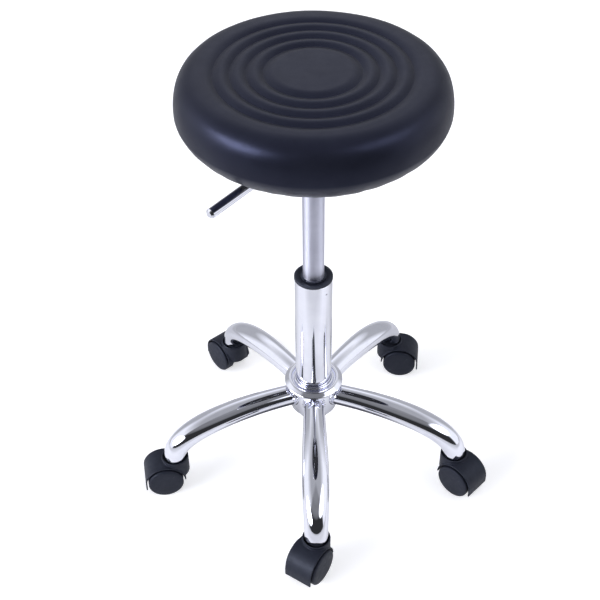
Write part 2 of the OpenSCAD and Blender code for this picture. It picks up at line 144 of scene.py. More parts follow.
def revolve(outline, segments):
    """Points and faces of a closed outline (radius, height) turned about Z."""
    outline = np.asarray(outline, float)
    m = len(outline)
    angle = np.arange(segments) * 2 * math.pi / segments
    points = np.zeros((segments, m, 3))
    points[:, :, 0] = np.cos(angle)[:, None] * outline[None, :, 0]
    points[:, :, 1] = np.sin(angle)[:, None] * outline[None, :, 0]
    points[:, :, 2] = outline[None, :, 1]
    on_axis = outline[:, 0] < 1e-6
    faces = []
    for i in range(segments):
        j = (i + 1) % segments
        for k in range(m):
            q = (k + 1) % m
            if on_axis[k] and on_axis[q]:
                continue
            if on_axis[k]:
                faces.append([i * m + k, j * m + q, i * m + q])
            elif on_axis[q]:
                faces.append([i * m + k, j * m + k, i * m + q])
            else:
                faces.append([i * m + k, j * m + k, j * m + q, i * m + q])
    return points.reshape(-1, 3), faces


def tube_faces(rings, sides, start=0, joined=True):
    """Faces between rings of points, whose last ring joins the first where the tube is joined."""
    faces = []
    for k in range(rings if joined else rings - 1):
        here = start + k * sides
        there = start + (k + 1) % rings * sides
        for j in range(sides):
            i = (j + 1) % sides
            faces.append([here + j, there + j, there + i, here + i])
    return faces


def round_angles(count):
    """Even angles round a circle."""
    return [2 * math.pi * k / count for k in range(count)]


def rise(value, start, run):
    """0 up to the start, rising to 1 over the run."""
    return max(0.0, min(1.0, (value - start) / run))


# ---------------------------------------------------------------- materials


class Nodes:
    """A node tree with short calls for its chains. A value in them is a number or a socket."""

    def __init__(self, tree):
        self.tree = tree

    def node(self, kind, **settings):
        made = self.tree.nodes.new(kind)
        for key, value in settings.items():
            setattr(made, key, value)
        return made

    def link(self, a, b):
        self.tree.links.new(a, b)

    def feed(self, values, sockets):
        """Links each value that is a socket, and sets each one that is not."""
        for value, socket in zip(values, sockets):
            if hasattr(value, "is_output"):
                self.link(value, socket)
            else:
                socket.default_value = value

    def math(self, operation, *values, clamp=False):
        made = self.node("ShaderNodeMath", operation=operation, use_clamp=clamp)
        self.feed(values, made.inputs)
        return made.outputs[0]

    def vector(self, operation, *values):
        made = self.node("ShaderNodeVectorMath", operation=operation)
        self.feed(values, made.inputs)
        return made.outputs["Value" if operation == "LENGTH" else "Vector"]

    def axes(self, value):
        """The X, Y and Z of a vector."""
        made = self.node("ShaderNodeSeparateXYZ")
        self.link(value, made.inputs[0])
        return made.outputs

    def product(self, a, b):
        return self.math("MULTIPLY", a, b)

    def minus(self, a, b):
        return self.math("SUBTRACT", a, b)

    def over(self, value, start, run):
        """0 up to the start, rising to 1 over the run, or down to it where the run is negative."""
        return self.math("MULTIPLY", self.minus(value, start), 1 / run, clamp=True)

    def less(self, value, part, share):
        """The value, less a share of it where part is 1."""
        return self.product(value, self.minus(1.0, self.product(part, share)))

    def camera_ray(self):
        return self.node("ShaderNodeLightPath").outputs["Is Camera Ray"]

    def choose(self, switch, off, on):
        """The first value where the switch is 0, and the second where it is 1."""
        made = self.node("ShaderNodeMix", data_type="FLOAT")
        self.feed((switch, off, on), (made.inputs[0], made.inputs[2], made.inputs[3]))
        return made.outputs[0]


class Shader(Nodes):
    """A Principled material with short calls for the textures that the finishes share."""

    def __init__(self, name, metallic=0.0, specular=0.5):
        self.mat = bpy.data.materials.new(name)
        self.mat.use_nodes = True
        super().__init__(self.mat.node_tree)
        self.bsdf = self.tree.nodes["Principled BSDF"]
        self.set("Metallic", metallic)
        self.set("Specular IOR Level", specular)
        self.coords = self.node("ShaderNodeTexCoord").outputs["Object"]

    def set(self, socket, value):
        self.bsdf.inputs[socket].default_value = value

    def drive(self, socket, value):
        self.link(value, self.bsdf.inputs[socket])

    def stretched(self, scale):
        """Object coordinates scaled by a different amount along each axis."""
        made = self.node("ShaderNodeMapping")
        made.inputs["Scale"].default_value = scale
        self.link(self.coords, made.inputs["Vector"])
        return made.outputs["Vector"]

    def noise(self, scale, detail, rough, distortion=0.0, coords=None):
        made = self.node("ShaderNodeTexNoise")
        made.inputs["Scale"].default_value = scale
        made.inputs["Detail"].default_value = detail
        made.inputs["Roughness"].default_value = rough
        made.inputs["Distortion"].default_value = distortion
        self.link(coords or self.coords, made.inputs["Vector"])
        return made.outputs["Fac"]

    def cells(self, scale):
        """Distance to the edge of irregular cells."""
        made = self.node("ShaderNodeTexVoronoi", feature="DISTANCE_TO_EDGE")
        made.inputs["Scale"].default_value = scale
        self.link(self.coords, made.inputs["Vector"])
        return made.outputs["Distance"]

    def layers(self, scale, distortion):
        """Wavy layers stacked along Z."""
        made = self.node("ShaderNodeTexWave", bands_direction="Z")
        made.inputs["Scale"].default_value = scale
        made.inputs["Distortion"].default_value = distortion
        made.inputs["Detail"].default_value = 2.0
        self.link(self.coords, made.inputs["Vector"])
        return made.outputs["Fac"]

    def ramp(self, value, low, high, to_low=0.0, to_high=1.0):
        """The range from low to high, spread from to_low to to_high and held there outside it."""
        made = self.node("ShaderNodeMapRange")
        made.inputs["From Min"].default_value = low
        made.inputs["From Max"].default_value = high
        made.inputs["To Min"].default_value = to_low
        made.inputs["To Max"].default_value = to_high
        self.link(value, made.inputs["Value"])
        return made.outputs["Result"]

    def mix(self, fac, a, b):
        """Colour a to colour b by fac; a and b are colours or sockets."""
        made = self.node("ShaderNodeMix", data_type="RGBA")
        self.link(fac, made.inputs[0])
        colors = [c if hasattr(c, "is_output") else (*c, 1) for c in (a, b)]
        self.feed(colors, (made.inputs[6], made.inputs[7]))
        return made.outputs[2]

    def bump(self, height, distance_mm, strength, after=None):
        """A surface normal tilted by a height, on top of another normal where after gives one."""
        made = self.node("ShaderNodeBump")
        made.inputs["Strength"].default_value = strength
        made.inputs["Distance"].default_value = distance_mm * MM
        self.link(height, made.inputs["Height"])
        if after is not None:
            self.link(after, made.inputs["Normal"])
        return made.outputs["Normal"]

    def color(self, value):
        self.drive("Base Color", value)

    def rough(self, value):
        self.drive("Roughness", value)

    def normal(self, value):
        self.drive("Normal", value)


def leather():
    """Fine-grained synthetic leather in cells, with painted shade darkening the creases between them."""
    s = Shader("leather", specular=0.32)
    s.set("Specular Tint", (0.50, 0.56, 0.98, 1))
    cloudy = s.ramp(s.noise(22, 4, 0.55), 0.35, 0.68)
    cells = s.cells(900)
    base = s.mix(cloudy, (0.0105, 0.0115, 0.0190), (0.0135, 0.0148, 0.0240))
    # Painted shade: the colour darkens in the creases between the cells.
    s.color(s.mix(s.ramp(cells, 0.0, 0.10, 0.35, 0.0), base, (0.005, 0.005, 0.008)))
    s.rough(s.ramp(s.noise(70, 5, 0.6), 0.3, 0.7, 0.29, 0.37))
    soft = s.bump(s.noise(34, 3, 0.5), 0.5, 0.30)
    grain = s.bump(s.ramp(cells, 0.0, 0.16), 0.04, 0.45, soft)
    s.normal(s.bump(s.noise(2600, 2, 0.6), 0.02, 0.4, grain))
    return s.mat


def chrome():
    """Bright plating with a faint haze, slight waves and fine polishing lines along Z."""
    s = Shader("chrome", metallic=1.0)
    haze = s.noise(48, 5, 0.62, 0.4)
    s.color(s.mix(s.ramp(haze, 0.35, 0.75), (0.885, 0.895, 0.965), (0.835, 0.845, 0.925)))
    s.rough(s.ramp(haze, 0.42, 0.78, 0.035, 0.11))
    sway = s.bump(s.noise(26, 2, 0.4), 0.12, 0.16)
    lines = s.noise(900, 2, 0.5, coords=s.stretched((1, 1, 0.06)))
    s.normal(s.bump(lines, 0.004, 0.12, sway))
    return s.mat


def satin_silver():
    """Satin tube with fine lines along Z, whose highlights spread round the tube."""
    s = Shader("satin_silver", metallic=1.0)
    haze = s.noise(40, 4, 0.6)
    s.color(s.mix(s.ramp(haze, 0.3, 0.7), (0.74, 0.75, 0.87), (0.66, 0.67, 0.785)))
    s.rough(s.ramp(haze, 0.3, 0.7, 0.33, 0.41))
    lines = s.noise(1500, 2, 0.5, coords=s.stretched((1, 1, 0.02)))
    s.normal(s.bump(lines, 0.006, 0.3))
    s.set("Anisotropic", 0.8)
    s.set("Anisotropic Rotation", 0.25)
    s.drive("Tangent", s.node("ShaderNodeTangent", direction_type="RADIAL", axis="Z").outputs[0])
    return s.mat


def steel():
    """Turned steel, brushed in fine lines."""
    s = Shader("steel", metallic=1.0)
    bright = (0.56, 0.57, 0.59)
    dull = tuple(c * 0.72 for c in bright)
    haze = s.noise(120, 5, 0.65)
    s.color(s.mix(s.ramp(haze, 0.35, 0.72), bright, dull))
    s.rough(s.ramp(haze, 0.3, 0.75, 0.26, 0.45))
    lines = s.noise(1400, 2, 0.5, coords=s.stretched((1, 0.05, 1)))
    s.normal(s.bump(lines, 0.01, 0.35))
    return s.mat


def black_steel():
    """Black powder coat with a fine orange peel."""
    s = Shader("black_steel")
    cloudy = s.ramp(s.noise(60, 5, 0.6), 0.35, 0.7)
    s.color(s.mix(cloudy, (0.016, 0.016, 0.018), (0.030, 0.030, 0.033)))
    s.rough(s.ramp(s.noise(90, 4, 0.6), 0.3, 0.7, 0.34, 0.5))
    s.normal(s.bump(s.noise(420, 2, 0.45), 0.03, 0.5))
    return s.mat


def nylon():
    """Black moulded nylon with a spark-eroded grain and slightly worn edges."""
    s = Shader("nylon", specular=0.30)
    s.set("Specular Tint", (0.76, 0.82, 1.0, 1))
    cloudy = s.ramp(s.noise(55, 4, 0.6), 0.35, 0.7)
    base = s.mix(cloudy, (0.0096, 0.0112, 0.0188), (0.0138, 0.0160, 0.0255))
    edge = s.ramp(s.node("ShaderNodeNewGeometry").outputs["Pointiness"], 0.52, 0.60)
    s.color(s.mix(edge, base, (0.034, 0.038, 0.052)))
    s.rough(s.ramp(s.noise(160, 4, 0.6), 0.3, 0.7, 0.44, 0.60))
    soft = s.bump(s.noise(45, 2, 0.5), 0.2, 0.15)
    s.normal(s.bump(s.noise(2300, 3, 0.6), 0.03, 0.5, soft))
    return s.mat


def plain(name, color, rough, bump_scale, bump_mm, specular=0.4):
    """A dull moulded finish: mottled colour and a fine rough skin."""
    s = Shader(name, specular=specular)
    dark = tuple(c * 0.78 for c in color)
    s.color(s.mix(s.ramp(s.noise(90, 4, 0.6), 0.3, 0.7), color, dark))
    s.rough(s.ramp(s.noise(140, 4, 0.6), 0.3, 0.7, rough - 0.08, rough + 0.06))
    s.normal(s.bump(s.noise(bump_scale, 3, 0.6), bump_mm, 0.5))
    return s.mat


def plywood():
    """Plies along Z, with grain along X."""
    s = Shader("plywood", specular=0.3)
    grain = s.noise(60, 6, 0.6, 1.2, coords=s.stretched((1, 9, 1)))
    light = s.mix(s.ramp(grain, 0.3, 0.7), (0.60, 0.44, 0.26), (0.44, 0.30, 0.16))
    s.color(s.mix(s.ramp(s.layers(130, 0.3), 0.45, 0.6), light, (0.36, 0.24, 0.13)))
    s.set("Roughness", 0.7)
    s.normal(s.bump(grain, 0.08, 0.4))
    return s.mat


def felt():
    """Thin black felt with loose fibres."""
    s = Shader("felt", specular=0.15)
    fibres = s.noise(900, 6, 0.75, 2.5)
    s.color(s.mix(s.ramp(fibres, 0.35, 0.7), (0.012, 0.012, 0.013), (0.040, 0.040, 0.044)))
    s.set("Roughness", 0.95)
    s.set("Sheen Weight", 0.35)
    s.set("Sheen Roughness", 0.5)
    s.normal(s.bump(fibres, 0.25, 0.6))
    return s.mat


MATERIALS = {
    "leather": leather(),
    "foam": plain("foam", (0.85, 0.80, 0.62), 0.9, 700, 0.3, 0.2),
    "plywood": plywood(),
    "felt": felt(),
    "chrome": chrome(),
    "silver": satin_silver(),
    "black_steel": black_steel(),
    "steel": steel(),
    "nylon": nylon(),
    "white_nylon": plain("white_nylon", (0.80, 0.80, 0.74), 0.5, 1800, 0.03),
    "rubber": plain("rubber", (0.022, 0.022, 0.023), 0.72, 1500, 0.05, 0.3),
}
for part in frame["record"]["subparts"]:
    for material_slot in nodes[part["node"]].material_slots:
        material_slot.material = MATERIALS[part["material_slot"]]

# ---------------------------------------------------------------- seat cushion

seat_low, seat_high = box_mm("seat_cover")
board_low, board_high = box_mm("seat_board")
SEAT_R = seat_high[0]
SEAT_BOTTOM = seat_low[2]
BOARD_R = board_high[0]
BOARD_BOTTOM = board_low[2]
BOARD_TOP = board_high[2]
# The padding stands a little proud of the CAD's flat top.
SEAT_TOP = seat_high[2] + 1.6
CREST = seat_high[2] + 2.4
EQUATOR = SEAT_BOTTOM + 32.0
# The bolster curves out and down from the crest to the equator, and tucks in below it.
BOLSTER = 33.0
BOLSTER_POWER = 2.6
TUCK = 30.0
TUCK_POWER = 1.5
# The stitched grooves on both sides of each of the three ribs, and the round edge of the disc inside them.
GROOVES = [56.4, 75.6, 94.8, 114.0]
GROOVE_DEPTH = 3.2
DISC_EDGE = 13.0
RIBS_END = GROOVES[-1] + 2.0
SEAM_HALF = 0.3
# Rows of points on the disc, its edge, each rib, the bolster's inner rise, its outside and the tuck.
DISC_ROWS = 14
EDGE_ROWS = 12
RIB_ROWS = 18
RISE_ROWS = 12
BOLSTER_ROWS = 33
TUCK_ROWS = 21
# The cover's hem under the board.
HEM_R = 108.0
HEM_ROWS = 4
CUSHION_SEGMENTS = 144
# The cushion starts this much smaller, and the pressure fills it out by no more than the last of these.
SWELL = 1.2
SWELL_FADE_ROWS = 8
PRESSURE = 4.0
SIMULATED_FRAMES = 16
MOST_SWELL = 2.2
# Lumps and smaller dents of the padding, and the pleats under the seat.
LUMP_SIZE = 38.0
LUMP_HEIGHT = 0.55
DENT_SIZE = 17.0
DENT_HEIGHT = 0.16
PLEATS = 38
PLEAT_DEPTH = 1.5
# Points this near the board or the hem count as lying on it.
CLEAR = 0.5
HEM_CLEAR = 0.3


def seat_top(r):
    """Height of the seat's upper surface inside the bolster's crest."""
    disc = GROOVES[0] - DISC_EDGE
    if r <= disc:
        return SEAT_TOP
    if r <= GROOVES[0]:
        return SEAT_TOP - GROOVE_DEPTH * (1 - math.cos(math.pi / 2 * (r - disc) / DISC_EDGE))
    for a, b in zip(GROOVES, GROOVES[1:]):
        if r <= b:
            return SEAT_TOP - GROOVE_DEPTH * (1 - math.sin(math.pi * (r - a) / (b - a)))
    run = SEAT_R - BOLSTER - GROOVES[-1]
    low = SEAT_TOP - GROOVE_DEPTH
    return low + (CREST - low) * math.sin(math.pi / 2 * min(1, (r - GROOVES[-1]) / run))


def steps(start, end, count):
    """Even steps from the start to just before the end."""
    return np.linspace(start, end, count + 1)[:-1]


def seat_outline():
    """The cushion's closed section from the axis, over the ribs and the bolster, and back along the board.

    It comes with the rows at the grooves and the number of the row where the hem starts.
    """
    disc = GROOVES[0] - DISC_EDGE
    radii = list(steps(0, disc, DISC_ROWS)) + list(steps(disc, GROOVES[0], EDGE_ROWS))
    for a, b in zip(GROOVES, GROOVES[1:]):
        w = steps(0, 1, RIB_ROWS)
        crowded_at_grooves = w - 0.55 * np.sin(2 * math.pi * w) / (2 * math.pi)
        radii += list(a + (b - a) * crowded_at_grooves)
    crest = SEAT_R - BOLSTER
    crowded_at_groove = steps(0, 1, RISE_ROWS) ** 1.4
    radii += list(GROOVES[-1] + (crest - GROOVES[-1]) * crowded_at_groove)
    line = [(r, seat_top(r)) for r in radii]
    sewn_rows = [k for k, r in enumerate(radii) if any(abs(r - g) < 0.01 for g in GROOVES)]
    power = 2 / BOLSTER_POWER
    for a in steps(math.pi / 2, 0, BOLSTER_ROWS):
        line.append((crest + BOLSTER * math.cos(a) ** power,
                     EQUATOR + (CREST - EQUATOR) * math.sin(a) ** power))
    tucked = SEAT_R - TUCK
    power = 2 / TUCK_POWER
    for a in np.linspace(0, math.pi / 2, TUCK_ROWS + 1):
        line.append((tucked + TUCK * math.cos(a) ** power,
                     EQUATOR - (EQUATOR - SEAT_BOTTOM) * math.sin(a) ** power))
    hem_row = len(line) - 1
    line += [(r, SEAT_BOTTOM) for r in np.linspace(tucked, HEM_R, HEM_ROWS + 1)[1:]]
    line += [(r, BOARD_BOTTOM) for r in (HEM_R, 121, BOARD_R)]
    line += [(r, BOARD_TOP) for r in (BOARD_R, 90, 45, 0)]
    return np.array(line), sewn_rows, hem_row


def puff(obj, held):
    """Swells a closed piece with a cloth simulation under pressure, and keeps each point near its start."""
    scene = bpy.context.scene
    count = len(obj.data.vertices)
    before = np.zeros(count * 3)
    obj.data.vertices.foreach_get("co", before)
    before = before.reshape(-1, 3)
    group = obj.vertex_groups.new(name="held")
    group.add([int(i) for i in held], 1.0, "REPLACE")
    mod = obj.modifiers.new("cloth", "CLOTH")
    cloth = mod.settings
    cloth.quality = 5
    cloth.mass = 0.25
    cloth.tension_stiffness = 12
    cloth.compression_stiffness = 12
    cloth.shear_stiffness = 6
    cloth.bending_stiffness = 0.4
    cloth.vertex_group_mass = "held"
    cloth.use_pressure = True
    cloth.uniform_pressure_force = PRESSURE
    cloth.effector_weights.gravity = 0
    mod.collision_settings.use_collision = False
    mod.point_cache.frame_start = 1
    mod.point_cache.frame_end = SIMULATED_FRAMES
    scene.frame_start = 1
    scene.frame_end = SIMULATED_FRAMES
    for f in range(1, SIMULATED_FRAMES + 1):
        scene.frame_set(f)
    dg = bpy.context.evaluated_depsgraph_get()
    swollen = obj.evaluated_get(dg).to_mesh()
    after = np.zeros(count * 3)
    swollen.vertices.foreach_get("co", after)
    move = after.reshape(-1, 3) - before
    obj.evaluated_get(dg).to_mesh_clear()
    length = np.linalg.norm(move, axis=1)
    cap = MOST_SWELL * MM
    move *= (cap * np.tanh(length / cap) / np.maximum(length, 1e-12))[:, None]
    obj.modifiers.remove(mod)
    obj.vertex_groups.clear()
    scene.frame_set(1)
    obj.data.vertices.foreach_set("co", (before + move).ravel())
    obj.data.update()


def shrunk(outline, hem_row):
    """The cushion's section before it swells. It keeps its place from the hem on."""
    tangent = np.gradient(outline, axis=0)
    normal = np.stack([-tangent[:, 1], tangent[:, 0]], axis=1)
    normal /= np.linalg.norm(normal, axis=1)[:, None]
    inset = np.full(len(outline), SWELL)
    inset[hem_row:] = 0
    inset[hem_row - SWELL_FADE_ROWS:hem_row] *= np.linspace(1, 0, SWELL_FADE_ROWS)
    start = outline - normal * inset[:, None]
    start[0, 0] = 0
    return start


def on_board(r, z):
    """True on the cushion's flat inner faces, where it lies on the board."""
    return (z < BOARD_TOP + CLEAR) & (r < BOARD_R + CLEAR)


def build_cushion():
    """The cushion: a shrunk shape swollen by pressure, sewn along its grooves and creased."""
    outline, sewn_rows, hem_row = seat_outline()
    start = shrunk(outline, hem_row)
    points, faces = revolve(start, CUSHION_SEGMENTS)
    obj = new_object("cushion", new_mesh("cushion", points, faces, MATERIALS["leather"]))
    co = np.array([v.co for v in obj.data.vertices]) / MM
    r, z = np.hypot(co[:, 0], co[:, 1]), co[:, 2]
    section = np.stack([r, z], axis=1)
    rows = np.argmin(((section[:, None, :] - start[None, :, :]) ** 2).sum(axis=2), axis=1)
    held = (z < SEAT_BOTTOM + CLEAR) | on_board(r, z)
    for k in sewn_rows:
        held |= (np.abs(r - start[k, 0]) < SEAM_HALF) & (z > EQUATOR)
    puff(obj, np.nonzero(held)[0])
    sew_ribs(obj, outline[rows])
    crease_cushion(obj)
    finer = obj.modifiers.new("finer", "SUBSURF")
    finer.levels = 1
    finer.render_levels = 1
    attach(obj, "seat")
    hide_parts("seat_cover", "seat_foam")


def sew_ribs(obj, sewn):
    """Brings the disc and the ribs to their stitched shape (radius, height), and leaves the bolster."""
    for v, (r, z) in zip(obj.data.vertices, sewn):
        swollen = rise(r, RIBS_END, 14)
        swollen = swollen * swollen * (3 - 2 * swollen)
        if z > EQUATOR and swollen < 1:
            a = math.atan2(v.co.y, v.co.x)
            stitched = Vector((r * math.cos(a), r * math.sin(a), z)) * MM
            v.co = stitched * (1 - swollen) + v.co * swollen
    obj.data.update()


def crease_cushion(obj):
    """Soft unevenness of the padding, and the pleats where the cover is pulled under the seat."""
    for v in obj.data.vertices:
        x, y, z = v.co / MM
        r = math.hypot(x, y)
        if r < 1 or z < SEAT_BOTTOM + HEM_CLEAR or on_board(r, z):
            continue
        a = math.atan2(y, x)
        out = Vector((x / r, y / r, 0))
        spot = Vector((x, y, z))
        lumps = LUMP_HEIGHT * noise.noise(spot / LUMP_SIZE)
        dents = DENT_HEIGHT * noise.noise(spot / DENT_SIZE + Vector((9, 2, 5)))
        soft = lumps + dents
        padded = rise(r, RIBS_END + 2, 20) if z > EQUATOR else 1.0
        pulled = rise(EQUATOR - z, 8, 16)
        wander = 2.2 * noise.noise(Vector((math.cos(a), math.sin(a), 0.3)) * 3.1)
        uneven = 0.65 + 0.6 * noise.noise(Vector((math.cos(a), math.sin(a), 4.0)) * 6)
        pleat = PLEAT_DEPTH * pulled * uneven * (0.5 + 0.5 * math.cos(PLEATS * a + wander)) ** 3
        v.co += (out * (soft * padded - pleat) + Vector((0, 0, 1)) * soft * 0.35 * (1 - padded)) * MM
    obj.data.update()


build_cushion()

# ---------------------------------------------------------------- curved legs

leg_low, leg_high = box_mm("leg_1")
HUB_R = box_mm("hub_tube")[1][0]
STAR_R = to_mm(math.hypot(*joints["caster_1_swivel"]["pos_m"][:2]))
LEG_WIDTH = 30.0
LEG_HEIGHT = 28.0
LEG_WALL = 2.0
# Along its run the tube grows this much wider and deeper, and bulges sideways between its ends.
LEG_WIDENS = 2.0
LEG_DEEPENS = 4.0
LEG_BULGE = 5.3
LEG_BULGE_POWER = 1.6
LEG_ROOT_R = HUB_R + 4.5
LEG_ROOT_Z = leg_high[2] - LEG_HEIGHT / 2
LEG_END_Z = leg_low[2]
LEG_POWER = 2.25
LEG_SIDES = 80
LEG_RINGS = 110
RIM_RINGS = 4
# How far the open end is cut back on its inner side and on its outer side, as shares of the leg's run,
# and how much of the inner side stays uncut.
CUT_INSIDE = 0.2
CUT_OUTSIDE = 0.05
CUT_FLAT = 0.1
# How far the end's rounded edge stands back at its two faces, and out between them.
EDGE_BACK = 0.002
EDGE_OUT = 0.0015
# The weld bead at the root.
BEAD_SIDES = 10
BEAD_R = 1.5
BEAD_RIPPLE = 0.12
BEAD_RIPPLES = 19
BEAD_SPREAD = 1.02
BEAD_OUT = 0.6
ROOT_GAP = 0.05


def leg_axis(t):
    """The leg's middle line (radius, height): level at the hub, and upright over the caster's stem."""
    t = np.clip(t, 0, 1) * math.pi / 2
    return np.array([LEG_ROOT_R + (STAR_R - LEG_ROOT_R) * np.sin(t) ** (2 / LEG_POWER),
                     LEG_END_Z + (LEG_ROOT_Z - LEG_END_Z) * np.cos(t) ** (2 / LEG_POWER)])


def leg_point(t, a, inset):
    """A point of the leg's skin: t along the tube, a round it, inset from the outside."""
    step = 0.001
    c = leg_axis(t)
    if t < step:
        n = np.array([0.0, 1.0])
    elif t > 1 - step:
        n = np.array([1.0, 0.0])
    else:
        d = leg_axis(t + step) - leg_axis(t - step)
        n = np.array([-d[1], d[0]]) / np.linalg.norm(d)
    u = (c[0] - LEG_ROOT_R) / (STAR_R - LEG_ROOT_R)
    width = LEG_WIDTH + LEG_WIDENS * u + LEG_BULGE * math.sin(math.pi * u**LEG_BULGE_POWER)
    height = LEG_HEIGHT + LEG_DEEPENS * u**3
    side = (width / 2 - inset) * math.cos(a)
    lift = (height / 2 - inset) * math.sin(a)
    return np.array([c[0] + n[0] * lift, side, c[1] + n[1] * lift]), side, lift


def leg_run(k, a, inset):
    """How far along the tube the leg's ring k lies at the angle a."""
    inwards = max(0.0, (-math.sin(a) - CUT_FLAT) / (1 - CUT_FLAT))
    outwards = max(0.0, math.sin(a))
    run = max(0, k - 1) / (LEG_RINGS - 1) * (1 - CUT_INSIDE * inwards - CUT_OUTSIDE * outwards)
    if k == LEG_RINGS and inset in (0, LEG_WALL):
        run -= EDGE_BACK
    elif k == LEG_RINGS:
        run += EDGE_OUT * math.sin(math.pi * inset / LEG_WALL)
    return min(run, 1.0)


def build_leg_mesh():
    """The leg's outside, the rounded edge of its open end and its inside, with the bead at its root."""
    outside = [(k, 0.0) for k in range(LEG_RINGS + 1)]
    edge = [(LEG_RINGS, LEG_WALL * 0.5 * (1 - math.cos(math.pi * q / RIM_RINGS)))
            for q in range(1, RIM_RINGS + 1)]
    inside = [(k, LEG_WALL) for k in range(LEG_RINGS - 2, -1, -2)]
    rows = outside + edge + inside
    points = []
    for k, inset in rows:
        for a in round_angles(LEG_SIDES):
            p, side, lift = leg_point(leg_run(k, a, inset), a, inset)
            if k == 0:
                p = np.array([math.sqrt(HUB_R**2 - side**2) + ROOT_GAP, side, LEG_ROOT_Z + lift])
            points.append(p)
    faces = tube_faces(len(rows), LEG_SIDES)
    faces += tube_faces(LEG_SIDES, BEAD_SIDES, start=len(points))
    return new_mesh("leg_master", points + bead_points(), faces, MATERIALS["chrome"])


def bead_points():
    """Rings of the slightly rippled weld bead round the leg's root."""
    points = []
    along = np.array([1.0, 0, 0])
    for a in round_angles(LEG_SIDES):
        _, side, lift = leg_point(0.0, a, 0.0)
        x = math.sqrt(HUB_R**2 - side**2) + BEAD_OUT
        centre = np.array([x, side * BEAD_SPREAD, LEG_ROOT_Z + lift * BEAD_SPREAD])
        radial = np.array([0, math.cos(a), math.sin(a)])
        size = BEAD_R + BEAD_RIPPLE * math.sin(a * BEAD_RIPPLES)
        for b in round_angles(BEAD_SIDES):
            points.append(centre + size * (radial * math.cos(b) + along * math.sin(b)))
    return points


leg_mesh = build_leg_mesh()
for n in range(1, 6):
    turn = Matrix.Rotation(math.radians((n - 1) * 72 - 90), 4, "Z")
    place(f"leg_tube_{n}", leg_mesh, turn, "base", [f"leg_{n}"])

# ---------------------------------------------------------------- hub cover

cover_low, cover_high = box_mm("hub_cover")
COVER_Z = cover_low[2]
COVER_H = cover_high[2] - COVER_Z
COVER_R = cover_high[0]
COVER_BORE_R = box_mm("column_tube")[1][0] + 0.3
COLLAR_R = 27.7
RIM_H = 2.4
COVER_SEGMENTS = 128


def hub_cover_outline():
    """The pressed cover's section: (radius, height above its foot, corner's radius)."""
    collar = [(COVER_BORE_R, 0, 0.3), (COVER_BORE_R, COVER_H, 0.8), (COLLAR_R, COVER_H, 1.0)]
    gutter = [(COLLAR_R + 0.1, 3.9, 0.9), (30.2, 3.9, 0.6)]
    dome = [(31.0, 9.2, 1.8), (34.6, 9.4, 4.0), (COVER_R - 0.2, 4.9, 2.4), (COVER_R, RIM_H, 0.5)]
    inside = [(39.2, RIM_H, 0.4), (39.0, 4.2, 1.5), (34.0, 7.4, 2.0), (32.4, 6.3, 1.0)]
    foot = [(32.4, RIM_H, 0.5), (COLLAR_R, RIM_H, 0.3), (COLLAR_R, 0, 0.3)]
    section = collar + gutter + dome + inside + foot
    return rounded([(r, COVER_Z + h, corner) for r, h, corner in section], 8)


cover_mesh = new_mesh("hub_dome", *revolve(hub_cover_outline(), COVER_SEGMENTS), MATERIALS["chrome"])
place("hub_dome", cover_mesh, Matrix(), "base", ["hub_cover"])

# ---------------------------------------------------------------- casters

WHEEL_R = to_mm(joints["wheel_1_left_roll"]["pos_m"][2])
WHEEL_BACK = 7.4
AXLE_HOLE_R = 3.05
AXLE_HOLE_END = 21.0
RECESS_END = 18.0
WHEEL_SEGMENTS = 112
HOOD_VOXEL = 0.62


def caster_matrix(n):
    """The caster's own frame: Z up its stem, +X towards its axle."""
    pos = joints[f"caster_{n}_swivel"]["pos_m"]
    axis = joints[f"wheel_{n}_left_roll"]["axis"]
    turn = math.atan2(-axis[0], axis[1])
    return Matrix.Translation((pos[0], pos[1], 0)) @ Matrix.Rotation(turn, 4, "Z")


def remesh(mesh):
    """The mesh rebuilt in small even faces, with its edges slightly rounded, as moulding leaves them."""
    obj = new_object("remesh", mesh)
    mod = obj.modifiers.new("voxels", "REMESH")
    mod.mode = "VOXEL"
    mod.voxel_size = HOOD_VOXEL * MM
    mod.use_smooth_shade = True
    mod = obj.modifiers.new("smooth", "SMOOTH")
    mod.iterations = 5
    mod.factor = 0.5
    dg = bpy.context.evaluated_depsgraph_get()
    made = bpy.data.meshes.new_from_object(obj.evaluated_get(dg), depsgraph=dg)
    bpy.data.objects.remove(obj)
    return made


def build_hood_mesh():
    """The CAD hood of caster 1, brought to the caster's own frame and rounded."""
    mesh = nodes["hood_1"].data.copy()
    tidy_mesh(mesh)
    mesh.transform(caster_matrix(1).inverted())
    fine = remesh(mesh)
    fine.materials.clear()
    fine.materials.append(MATERIALS["nylon"])
    fine.shade_smooth()
    fine.name = "hood_master"
    return fine


def build_wheel_mesh():
    """A wheel about the Y axis, its outer face towards +Y: (distance from the axle, along it, corner)."""
    face = [(0.0, 24.0, 0), (6.0, 23.98, 0), (12.0, 23.85, 0), (17.5, 23.55, 2.0), (21.2, 23.2, 2.0)]
    tread = [(WHEEL_R, 22.4, 2.6), (WHEEL_R, 8.6, 0.9), (WHEEL_R - 1.0, WHEEL_BACK, 0.5)]
    recess = [(20.0, WHEEL_BACK, 0.6), (19.6, RECESS_END, 1.0)]
    hub = [(8.4, RECESS_END, 1.0), (8.0, WHEEL_BACK, 0.6)]
    hole = [(AXLE_HOLE_R, WHEEL_BACK, 0.3), (AXLE_HOLE_R, AXLE_HOLE_END, 0), (0.0, AXLE_HOLE_END, 0)]
    points, faces = revolve(rounded(face + tread + recess + hub + hole, 6), WHEEL_SEGMENTS)
    return new_mesh("wheel_master", points[:, [0, 2, 1]], faces, MATERIALS["nylon"])


